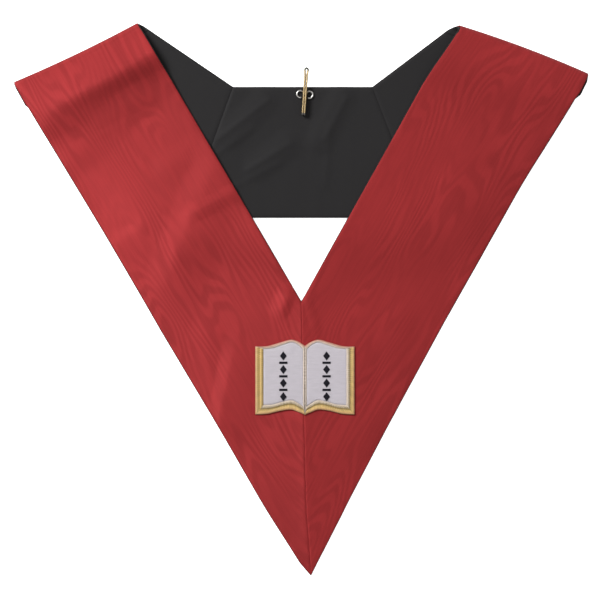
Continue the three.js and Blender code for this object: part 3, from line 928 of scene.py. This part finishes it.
def group_of(name, inputs, outputs):
    """A new shader node group with its named sockets. Returns the group and its two end nodes."""
    group = bpy.data.node_groups.new(name, "ShaderNodeTree")
    for socket, kind, default in inputs:
        made = group.interface.new_socket(socket, in_out="INPUT", socket_type=f"NodeSocket{kind}")
        made.default_value = default
    for socket, kind in outputs:
        group.interface.new_socket(socket, in_out="OUTPUT", socket_type=f"NodeSocket{kind}")
    return group, group.nodes.new("NodeGroupInput"), group.nodes.new("NodeGroupOutput")


def fine_weave_group():
    """Ribs across a length of cloth, from its UV map, with uneven threads."""
    name = "fine weave"
    if name in bpy.data.node_groups:
        return bpy.data.node_groups[name]
    warp_spacing, rib_share, warp_share = 0.31 * MM, 0.5, 0.15
    group, given, result = group_of(
        name, [("Rib Spacing", "Float", 0.0005), ("Unevenness", "Float", 0.3)],
        [("Height", "Float")])
    uv, along, across = uv_parts(group, "cloth")
    rib = sine(group, calc(group, "DIVIDE", along, given.outputs["Rib Spacing"]))
    warp = sine(group, across, 2 * math.pi / warp_spacing)
    thread = noise(group, uv, (900, 26), detail=1)
    height = weighted(group, calc(group, "MULTIPLY", rib, rib_share), (warp, warp_share),
                      (centred(group, thread), given.outputs["Unevenness"]))
    feed(group, result, {"Height": height})
    return group


def satin_stitch_group():
    """Parallel threads from the UV map: they run across the band, side by side along it."""
    name = "satin stitch"
    if name in bpy.data.node_groups:
        return bpy.data.node_groups[name]
    wander, valley_shade, least_rough, rough_share = 1.4, -0.35, 0.42, 0.25
    group, given, result = group_of(
        name, [("Thread Spacing", "Float", 0.0004), ("Colour", "Color", (1, 1, 1, 1)),
               ("Variation", "Float", 0.25)],
        [("Colour", "Color"), ("Height", "Float"), ("Roughness", "Float")])
    uv, along, _ = uv_parts(group, "thread")
    turns = calc(group, "DIVIDE", along, given.outputs["Thread Spacing"])
    phase = weighted(group, turns, (noise(group, uv, (260, 420), detail=1), wander))
    rounded = calc(group, "ABSOLUTE", sine(group, phase, math.pi))
    patch = noise(group, uv, (900, 120), offset=3.0, detail=2)
    light = weighted(group, 1.0, (centred(group, patch), given.outputs["Variation"]),
                     (calc(group, "SUBTRACT", 1.0, rounded), valley_shade))
    feed(group, result, {"Colour": scaled(group, given.outputs["Colour"], light), "Height": rounded,
                         "Roughness": weighted(group, least_rough, (patch, rough_share))})
    return group


def ribbon_material():
    """Watered silk: wood-grain lines run along the ribbon over fine ribs that catch the light."""
    colours = bpy.context.scene.collar_colours
    material, tree, shader = new_material("watered ribbon", colours.ribbon_bright,
                                          {"Metallic": 0.2, "Specular IOR Level": 0.04})
    line_spacing, line_drift, line_ripple, line_crest = 7.0 * MM, 17.0, 0.9, 0.75
    line_share, streak_share, cloud_share = 0.17, 0.6, 0.8
    rib_spacing, rib_slope, rib_top, relief = 0.55 * MM, 0.17, 0.95, 0.05 * MM
    faint_from, faint_to, least_shown = 0.4, 0.6, 0.25
    most_rough, rough_share = 0.5, -0.12
    uv, along, across = uv_parts(tree, "cloth")
    drift = noise(tree, uv, (7, 30), detail=1.5, roughness=0.45)
    ripple = noise(tree, uv, (22, 70), offset=5.0, detail=1)
    phase = weighted(tree, calc(tree, "DIVIDE", across, line_spacing), (drift, line_drift),
                     (ripple, line_ripple))
    line = eased(tree, sine(tree, phase), -line_crest, line_crest, -1.0, 1.0)
    shown = eased(tree, noise(tree, uv, (11, 34), offset=9.0, detail=1), faint_from, faint_to,
                  least_shown, 1.0)
    streak = noise(tree, uv, (30, 900), offset=2.0, detail=2)
    cloudy = noise(tree, uv, (10, 16), offset=7.0, detail=2)
    tone = weighted(tree, 0.5, (calc(tree, "MULTIPLY", line, shown), line_share),
                    (centred(tree, streak), streak_share), (centred(tree, cloudy), cloud_share))
    tone = calc(tree, "MINIMUM", calc(tree, "MAXIMUM", tone, 0.0), 1.0)
    rib = sine(tree, along, 2 * math.pi / rib_spacing)
    # In the colour of a normal map 0.5 stands for no slope
    tilt = node(tree, "CombineXYZ",
                {0: weighted(tree, 0.5, (rib, rib_slope)), 1: 0.5, 2: rib_top})
    ribs = node(tree, "NormalMap", {"Color": tilt.outputs[0]}, uv_map="cloth")
    feed(tree, shader, {
        "Base Color": blended(tree, tone, rgba(colours.ribbon_deep), rgba(colours.ribbon_bright)),
        "Roughness": weighted(tree, most_rough, (tone, rough_share)),
        "Normal": bump(tree, tone, relief, Normal=ribs.outputs[0]),
    })
    return material


def lining_material():
    """Matt black lining cloth with a fine weave and a few soft pressed lines."""
    colours = bpy.context.scene.collar_colours
    material, tree, shader = new_material(
        "black lining", colours.lining,
        {"Sheen Weight": 0.05, "Sheen Roughness": 0.5, "Specular IOR Level": 0.15})
    rib_spacing, unevenness, relief = 0.45 * MM, 0.4, 0.14 * MM
    weave_share, pressed_share = 0.12, 3.0
    least_light, light_share, least_rough, rough_share = 0.8, 0.4, 0.55, 0.2
    uv = uv_parts(tree, "cloth")[0]
    weave = node(tree, "Group", {"Rib Spacing": rib_spacing, "Unevenness": unevenness},
                 node_tree=fine_weave_group())
    cloudy = noise(tree, uv, (18, 18), detail=3)
    pressed = noise(tree, uv, (40, 9), offset=4.0, detail=2)
    light = weighted(tree, least_light, (cloudy, light_share))
    height = weighted(tree, calc(tree, "MULTIPLY", weave.outputs["Height"], weave_share),
                      (pressed, pressed_share))
    feed(tree, shader, {
        "Base Color": scaled(tree, tuple(colours.lining), light),
        "Roughness": weighted(tree, least_rough, (cloudy, rough_share)),
        "Normal": bump(tree, height, relief),
    })
    return material


def stitched_material(name, thread, spacing, variation, uniform, colour_layer=None):
    """Satin stitch in one thread's colour, or in the colours of a layer of the mesh."""
    plain = getattr(bpy.context.scene.collar_colours, thread)
    material, tree, shader = new_material(name, plain, uniform)
    relief = 0.12 * MM
    colour = attribute(tree, colour_layer, "Color") if colour_layer else rgba(plain)
    stitch = node(tree, "Group",
                  {"Thread Spacing": spacing * MM, "Colour": colour, "Variation": variation},
                  node_tree=satin_stitch_group())
    feed(tree, shader, {
        "Base Color": stitch.outputs["Colour"],
        "Roughness": stitch.outputs["Roughness"],
        "Normal": bump(tree, stitch.outputs["Height"], relief),
    })
    return material


def wire_material():
    """Gilt wire, duller where it has been handled, with a painted highlight of pale silver on its
    loops and foot, and a painted dark reflection at its tip.
    """
    colours = bpy.context.scene.collar_colours
    material, tree, shader = new_material("gilt wire", colours.wire,
                                          {"Metallic": 1.0, "Specular Tint": rgba(EDGE_TINT)})
    dulled, least_rough, rough_share = 0.8, 0.28, 0.2
    wear = noise(tree, own_place(tree), (300, 300, 300), detail=3)
    tone = blended(tree, wear, rgba([dulled * c for c in colours.wire]), rgba(colours.wire))
    # Painted highlight: pale silver on the sewing loops and the foot
    tone = blended(tree, attribute(tree, "bareness", "Fac"), tone, rgba(colours.highlight_silver))
    # Painted dark reflection at the tip of the tongue
    tone = blended(tree, attribute(tree, "tarnish", "Fac"), tone, rgba(DARK_REFLECTION))
    feed(tree, shader, {"Base Color": tone,
                        "Roughness": weighted(tree, least_rough, (wear, rough_share))})
    return material


def floor_material():
    """Plain pale paper that the studio light washes out."""
    material, tree, shader = new_material("pale floor", (0.9, 0.9, 0.9),
                                          {"Roughness": 0.9, "Emission Color": (1, 1, 1, 1)})
    least_grey, grain_share, glow = 0.8, 0.02, 0.8
    grain = noise(tree, own_place(tree), (60, 60, 60), detail=2)
    grey = weighted(tree, least_grey, (grain, grain_share))
    seen = node(tree, "LightPath").outputs["Is Camera Ray"]
    feed(tree, shader, {
        "Base Color": node(tree, "CombineXYZ", {0: grey, 1: grey, 2: grey}).outputs[0],
        "Emission Strength": calc(tree, "MULTIPLY", seen, glow),
    })
    return material


# Name, thread, spacing of the stitches in millimetres, variation, shader's numbers, colour layer
STITCHING = {
    "gilt": ("gilt embroidery", "gold", 0.8, 0.9, {"Sheen Weight": 0.05}, "thread_colour"),
    "page": ("page embroidery", "page", 0.36, 0.22, {"Sheen Weight": 0.2}),
    "mark": ("mark embroidery", "mark", 0.34, 0.4, {"Specular IOR Level": 0.1}),
}
PLAIN_MATERIALS = {
    "ribbon": ("watered ribbon", ribbon_material),
    "lining": ("black lining", lining_material),
    "wire": ("gilt wire", wire_material),
}


def material_of(kind):
    """The named material, made at its first use."""
    name = (STITCHING.get(kind) or PLAIN_MATERIALS[kind])[0]
    if name in bpy.data.materials:
        return bpy.data.materials[name]
    return stitched_material(*STITCHING[kind]) if kind in STITCHING else PLAIN_MATERIALS[kind][1]()


# The embroidered book


def curve_through(values, share):
    """Smooth curve through evenly spaced values, at shares of its length."""
    values = np.asarray(values, float)
    last = len(values) - 1
    at = np.asarray(share) * last
    index = np.minimum(at.astype(int), last - 1)
    weight = (at - index)[..., None]
    before, start = values[np.maximum(index - 1, 0)], values[index]
    end, after = values[index + 1], values[np.minimum(index + 2, last)]
    leave, arrive = (end - before) / 2, (after - start) / 2
    return ((2 * start - 2 * end + leave + arrive) * weight ** 3
            + (-3 * start + 3 * end - 2 * leave - arrive) * weight ** 2 + leave * weight + start)


def book_line(sizes, column, start, end, share, mirror):
    rows = [(row[0], row[BOOK_COLUMNS[column]]) for row in BOOK_SECTIONS]
    line = curve_through(rows, share)
    return np.stack([mirror * (start + (end - start) * line[..., 0]),
                     line[..., 1] * sizes.book_height / 2], axis=-1)


def page_ends(sizes):
    return GUTTER / 2, sizes.book_width / 2 - FORE_EDGE


def ring_of(sizes, mirror, steps):
    """Inner and outer line of the border round one page, and the side that each step is on."""
    half = sizes.book_width / 2
    low, high = page_ends(sizes)
    out, back = np.linspace(0, 1, steps["top"] + 1), np.linspace(1, 0, steps["foot"] + 1)
    lines = []
    for ends, top, foot in (((low, high), "page_top", "page_foot"), ((0, half), "top", "foot")):
        top_line = book_line(sizes, top, *ends, out, mirror)
        foot_line = book_line(sizes, foot, *ends, back, mirror)
        fore_line = spread(top_line[-1], foot_line[0], steps["fore"])
        spine_line = spread(foot_line[-1], top_line[0], steps["spine"])
        lines.append(np.vstack([top_line[:-1], fore_line[:-1], foot_line[:-1], spine_line]))
    names = [name for name in ("top", "fore", "foot", "spine") for _ in range(steps[name])]
    return lines[0], lines[1], names + ["top"]


def thread_colour(colours, name, mirror, share):
    if name == "fore":
        name = "fore_left" if mirror < 0 else "fore_right"
    stops = BAND_THREADS[name]
    at = [stop for stop, _ in stops]
    values = np.array([tuple(getattr(colours, thread)) for _, thread in stops])
    return [float(np.interp(share, at, values[:, channel])) for channel in range(3)]


def border_piece(name, mirror, base):
    """The raised border round one page: rounded cords of thread that lie side by side."""
    sizes, colours = bpy.context.scene.collar_sizes, bpy.context.scene.collar_colours
    inner, outer, names = ring_of(sizes, mirror, BAND_STEPS)
    share = np.linspace(0, 1, BAND_COLUMNS + 1)
    place = between(inner, outer, share[None])
    level = np.array([np.abs(np.sin(math.pi * BAND_CORDS[side] * share)) ** CORD_FULLNESS
                      for side in names])
    soft = level.copy()
    for i in range(len(names)):
        around = [(i + k) % (len(names) - 1) for k in range(-CORD_BLEND, CORD_BLEND + 1)]
        soft[i] = level[around].mean(axis=0)
    soft[-1] = soft[0]
    height = sizes.gilt_thickness * (VALLEY_SHARE + (1 - VALLEY_SHARE) * soft)
    bm = bmesh.new()
    spots = mapped_grid(bm, np.dstack([place, height]) + base)
    width = np.linalg.norm(outer - inner, axis=1)
    along = np.broadcast_to(travelled(outer)[:, None], level.shape)
    across = width[:, None] * share
    map_uv(bm, "thread", lambda vertex: (along[spots[vertex]], across[spots[vertex]]))
    tint = bm.loops.layers.float_color.new("thread_colour")
    for face in bm.faces:
        row = min(spots[loop.vert][0] for loop in face.loops)
        for loop in face.loops:
            out = share[spots[loop.vert][1]] + TOOTH * (-1) ** row
            loop[tint] = rgba(thread_colour(colours, names[row], mirror, out))
    bmesh.ops.remove_doubles(bm, verts=bm.verts, dist=BAND_MERGE)
    upright(bm)
    piece = finished(name, bm, material_of("gilt"))
    add_wall(piece, "backing", sizes.gilt_thickness * BORDER_BACKING)
    return piece


def upright(bm):
    """Turns the faces of an open sheet up, where its outline ran the other way round."""
    bm.normal_update()
    if sum(face.normal.z * face.calc_area() for face in bm.faces) < 0:
        bmesh.ops.reverse_faces(bm, faces=bm.faces)
    bm.normal_update()


def map_stitches(bm):
    """A UV map for stitches that lie across the picture."""
    map_uv(bm, "thread", lambda vertex: (vertex.co.y, vertex.co.x))


def page_piece(name, mirror, base):
    """A crowned page of fine stitches between its two curved lines."""
    sizes = bpy.context.scene.collar_sizes
    low, high = page_ends(sizes)
    share, up = np.linspace(0, 1, PAGE_ROWS + 1), np.linspace(0, 1, PAGE_COLUMNS + 1)
    top, foot = (
        book_line(sizes, line, low - PAGE_TUCK, high + PAGE_TUCK, share, mirror) + point(0, tuck)
        for line, tuck in (("page_top", PAGE_TUCK), ("page_foot", -PAGE_TUCK)))
    place = between(foot, top, up[None])
    edge = np.minimum(np.minimum(share, 1 - share)[:, None] * PAGE_ROWS,
                      np.minimum(up, 1 - up)[None] * PAGE_COLUMNS)
    crown = 1 - (1 - np.clip(edge / PAGE_CROWN_STEPS, 0, 1)) ** 2
    height = sizes.page_thickness * (PAGE_EDGE + (1 - PAGE_EDGE) * crown)
    bm = bmesh.new()
    mapped_grid(bm, np.dstack([place, height]) + base)
    map_stitches(bm)
    upright(bm)
    piece = finished(name, bm, material_of("page"))
    add_wall(piece, "backing", sizes.page_thickness * PAGE_BACKING)
    return piece


def mark_piece(name, node_name, level):
    """A padded lozenge or bar of satin stitch on a page, as large as its solid."""
    low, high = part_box(node_name)
    centre, size = (low + high) / 2, high - low
    bm = bmesh.new()
    bmesh.ops.create_circle(bm, cap_ends=True, segments=4, radius=0.5)
    if "lozenge" not in node_name:
        turn = Matrix.Rotation(math.pi / 4, 3, "Z")
        bmesh.ops.rotate(bm, verts=bm.verts, cent=(0, 0, 0), matrix=turn)
        bmesh.ops.scale(bm, verts=bm.verts, vec=(math.sqrt(2), math.sqrt(2), 1))
    raised = bmesh.ops.extrude_face_region(bm, geom=bm.faces[:])
    top = [item for item in raised["geom"] if isinstance(item, bmesh.types.BMVert)]
    bmesh.ops.translate(bm, verts=top, vec=(0, 0, 1))
    bmesh.ops.recalc_face_normals(bm, faces=bm.faces)
    bmesh.ops.scale(bm, verts=bm.verts, vec=(size.x, size.y, size.z + MARK_SINK))
    bmesh.ops.translate(bm, verts=bm.verts, vec=(centre.x, centre.y, level - MARK_SINK))
    rim = [edge for edge in bm.edges if all(v.co.z > level for v in edge.verts)]
    bmesh.ops.bevel(bm, geom=rim, offset=MARK_ROUNDING, segments=3, profile=0.5, affect="EDGES",
                    material=-1)
    map_stitches(bm)
    return finished(name, bm, material_of("mark"), smooth_faces=False)


# The hook


def arc(start, end, steps, place):
    """Places at even steps of an angle, in degrees, from its start to its end."""
    return [place(math.radians(start + (end - start) * i / steps)) for i in range(steps + 1)]


def hook_line(sizes):
    """The wire's centre line: left loop, bend at the foot, tongue's tip, and back the same way."""
    aside = (sizes.wire_diameter + HOOK_SPLIT) / 2
    loop_radius, bend_radius, tip_radius = HOOK_LOOP_RADIUS, HOOK_BEND_RADIUS, HOOK_TIP_RADIUS
    bend_middle, tip_middle = bend_radius - HOOK_FOOT, HOOK_TIP - tip_radius
    in_loop, in_bend, in_opening, in_tip = HOOK_STEPS
    loop = arc(HOOK_LOOP_END, 0, in_loop, lambda a: (
        -aside - loop_radius + loop_radius * math.cos(a), loop_radius * math.sin(a), 0))
    bend = arc(0, 180, in_bend, lambda a: (
        -aside, bend_middle - bend_radius * math.sin(a), bend_radius * (1 - math.cos(a))))
    opening = [(-float(mixed(aside, tip_radius, smooth(share, 0, 1))),
                tip_middle - HOOK_TIP_REACH * (1 - share), 2 * bend_radius)
               for share in np.linspace(0, HOOK_OPENING_END, in_opening).tolist()]
    end = arc(180, 90, in_tip, lambda a: (
        tip_radius * math.cos(a), tip_middle + tip_radius * math.sin(a), 2 * bend_radius))
    half = loop + bend + opening + end
    return half + [(-x, y, z) for x, y, z in reversed(half[:-1])]


def stitch_lines(sizes):
    """Half rings of thread over the upper part of both sewing loops."""
    reach = sizes.wire_diameter / 2 + STITCH_SLACK
    lines = []
    for mirror in (-1, 1):
        middle = mirror * ((sizes.wire_diameter + HOOK_SPLIT) / 2 + HOOK_LOOP_RADIUS)
        for angle in STITCH_ANGLES:
            outwards = math.radians(angle if mirror < 0 else 180 - angle)
            away = np.array([math.cos(outwards), math.sin(outwards), 0])
            centre = np.array([middle, 0, 0]) + away * HOOK_LOOP_RADIUS
            lines.append([centre + away * reach * math.cos(t)
                          + np.array([0, 0, reach * math.sin(t) - STITCH_SINK])
                          for t in np.linspace(0, math.pi, STITCH_STEPS + 1)])
    return lines


def tube(name, lines, radius, material, resolution):
    """Round wires or threads along lines of points, as one mesh."""
    curve = bpy.data.curves.new(name, "CURVE")
    curve.dimensions = "3D"
    curve.bevel_depth = radius
    curve.bevel_resolution = resolution
    curve.use_fill_caps = True
    for line in lines:
        spline = curve.splines.new("POLY")
        spline.points.add(len(line) - 1)
        for knot, place in zip(spline.points, line):
            knot.co = (*place, 1)
    drawn = bpy.data.objects.new(name, curve)
    bpy.context.scene.collection.objects.link(drawn)
    shaped = drawn.evaluated_get(bpy.context.evaluated_depsgraph_get())
    mesh = bpy.data.meshes.new_from_object(shaped)
    bpy.data.objects.remove(drawn)
    mesh.name = name
    bm = bmesh.new()
    bm.from_mesh(mesh)
    bmesh.ops.remove_doubles(bm, verts=bm.verts, dist=WIRE_MERGE)
    bmesh.ops.recalc_face_normals(bm, faces=bm.faces)
    return finished(name, bm, material)


# Operators


class COLLAR_OT_fronts(Operator):
    """Lays both fronts, from the seam at the point over the fold to the shoulder's mitre."""

    bl_idname = "collar.fronts"
    bl_label = "Fronts"

    def execute(self, context):
        plan = collar_plan(context.scene.collar_sizes)
        for side in (plan.left, plan.right):
            make_cloth(plan, f"front_{side.name}",
                       lambda rim, side=side: front_surface(plan, side, rim),
                       reverse=side.mirror > 0)
        return {"FINISHED"}


class COLLAR_OT_neck(Operator):
    """Lays the neck band and both shoulders underneath, with the lining up."""

    bl_idname = "collar.neck"
    bl_label = "Neck and Shoulders"

    def execute(self, context):
        plan = collar_plan(context.scene.collar_sizes)
        for side in (plan.left, plan.right):
            make_cloth(plan, f"shoulder_{side.name}",
                       lambda rim, side=side: shoulder_surface(plan, side, rim),
                       reverse=side.mirror > 0)
        make_cloth(plan, "neck", lambda rim: neck_surface(plan, rim))
        return {"FINISHED"}


class COLLAR_OT_book(Operator):
    """Embroiders the open book on the front seam."""

    bl_idname = "collar.book"
    bl_label = "Book"

    def execute(self, context):
        sizes = context.scene.collar_sizes
        base_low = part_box("book_gilt_frame")[0].z
        base = np.array([BOOK_SHIFT, -BOOK_DROP, base_low]) + collar_plan(sizes).shift
        page_top = base_low + sizes.page_thickness
        for side_name, mirror in (("left", -1), ("right", 1)):
            border = border_piece(f"book_border_{side_name}", mirror, base)
            on_body(border, "gilt_thread", "book_gilt_frame")
            page = page_piece(f"book_page_{side_name}_stitching", mirror, base)
            on_body(page, "page_thread", f"book_page_{side_name}")
        for node_name in sorted(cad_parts):
            if is_mark(node_name):
                mark = mark_piece(f"{node_name}_stitching", node_name, page_top)
                on_body(mark, "mark_thread", node_name)
        return {"FINISHED"}


class COLLAR_OT_hook(Operator):
    """Bends the wire hook and sews its two loops to the neck band."""

    bl_idname = "collar.hook"
    bl_label = "Hook"

    def execute(self, context):
        sizes = context.scene.collar_sizes
        plan = collar_plan(sizes)
        lining_top = plan.floor_level + sizes.touch_gap / 2 + sizes.lining_thickness
        place = plan.shift + np.array([HOOK_RIGHT, OPENING_HEIGHT + NECK_DEPTH - HOOK_DOWN,
                                       lining_top + sizes.touch_gap + sizes.wire_diameter / 2])
        cos, sin = math.cos(HOOK_LEAN), math.sin(HOOK_LEAN)
        turn = np.array([[cos, -sin, 0], [sin, cos, 0], [0, 0, 1]])
        wire = [np.array(hook_line(sizes)) @ turn.T + place]
        hook = tube("coat_hook_wire", wire, sizes.wire_diameter / 2, material_of("wire"),
                    WIRE_RESOLUTION)
        own = (np.array([vertex.co for vertex in hook.data.vertices]) - place) @ turn
        # Shares of painted highlight on the loops and the foot, and of painted dark reflection at
        # the tip
        aside, up = np.abs(own[:, 0]), own[:, 1]
        highlight_amount = np.maximum(smooth(aside, *LOOP_HIGHLIGHT_REACH), smooth(-up, *FOOT_HIGHLIGHT_REACH))
        for name, shares in (("bareness", highlight_amount), ("tarnish", smooth(up, *TIP_REFLECTION_REACH))):
            layer = hook.data.attributes.new(name, "FLOAT", "POINT")
            layer.data.foreach_set("value", shares.tolist())
        on_body(hook, "gilt_wire", "coat_hook")
        threads = [np.array(line) @ turn.T + place for line in stitch_lines(sizes)]
        stitches = tube("hook_stitches", threads, STITCH_RADIUS, material_of("lining"),
                        STITCH_RESOLUTION)
        on_body(stitches, "lining_black")
        return {"FINISHED"}


class COLLAR_OT_stage(Operator):
    """Sets the pale floor, the soft lights and the camera overhead."""

    bl_idname = "collar.stage"
    bl_label = "Stage"

    def execute(self, context):
        scene = context.scene
        bm = bmesh.new()
        bmesh.ops.create_grid(bm, x_segments=4, y_segments=4, size=FLOOR_HALF)
        bmesh.ops.translate(bm, verts=bm.verts, vec=(0, 0, -FLOOR_DROP))
        floor = finished("floor", bm, floor_material())

        world = bpy.data.worlds.new("studio")
        world.use_nodes = True
        feed(world.node_tree, world.node_tree.nodes["Background"],
             {"Color": (1, 1, 1, 1), "Strength": ROOM_LIGHT})
        scene.world = world
        scene.view_settings.view_transform = "Standard"

        for light in LIGHTS:
            self.light(*light)

        camera = bpy.data.cameras.new("overhead")
        camera.sensor_width = SENSOR_WIDTH
        camera.lens = SENSOR_WIDTH * CAMERA_HEIGHT / PICTURE_WIDTH
        camera.clip_start, camera.clip_end = CAMERA_CLIP
        overhead = bpy.data.objects.new("overhead", camera)
        middle = collar_plan(scene.collar_sizes).shift + np.array(PICTURE_MIDDLE)
        overhead.location = (middle[0], middle[1], CAMERA_HEIGHT + FOCUS_HEIGHT)
        scene.collection.objects.link(overhead)
        scene.camera = overhead
        return {"FINISHED"}

    @staticmethod
    def light(name, place, size, power):
        lamp = bpy.data.lights.new(name, "AREA")
        lamp.size = size
        lamp.energy = power
        light = bpy.data.objects.new(name, lamp)
        light.location = place
        light.rotation_mode = "QUATERNION"
        light.rotation_quaternion = (-light.location).to_track_quat("-Z", "Y")
        bpy.context.scene.collection.objects.link(light)


# The book and the hook come first
STEPS = (COLLAR_OT_book, COLLAR_OT_hook, COLLAR_OT_neck, COLLAR_OT_fronts, COLLAR_OT_stage)
CLASSES = (CollarSizes, CollarColours, COLLAR_PT_panel, *STEPS)


def register():
    for item in CLASSES:
        bpy.utils.register_class(item)
    bpy.types.Scene.collar_sizes = PointerProperty(type=CollarSizes)
    bpy.types.Scene.collar_colours = PointerProperty(type=CollarColours)


def unregister():
    del bpy.types.Scene.collar_sizes
    del bpy.types.Scene.collar_colours
    for item in reversed(CLASSES):
        bpy.utils.unregister_class(item)


def main():
    register()
    bpy.ops.collar.book()
    bpy.ops.collar.hook()
    bpy.ops.collar.neck()
    bpy.ops.collar.fronts()
    bpy.ops.collar.stage()


if __name__ == "__main__":
    main()
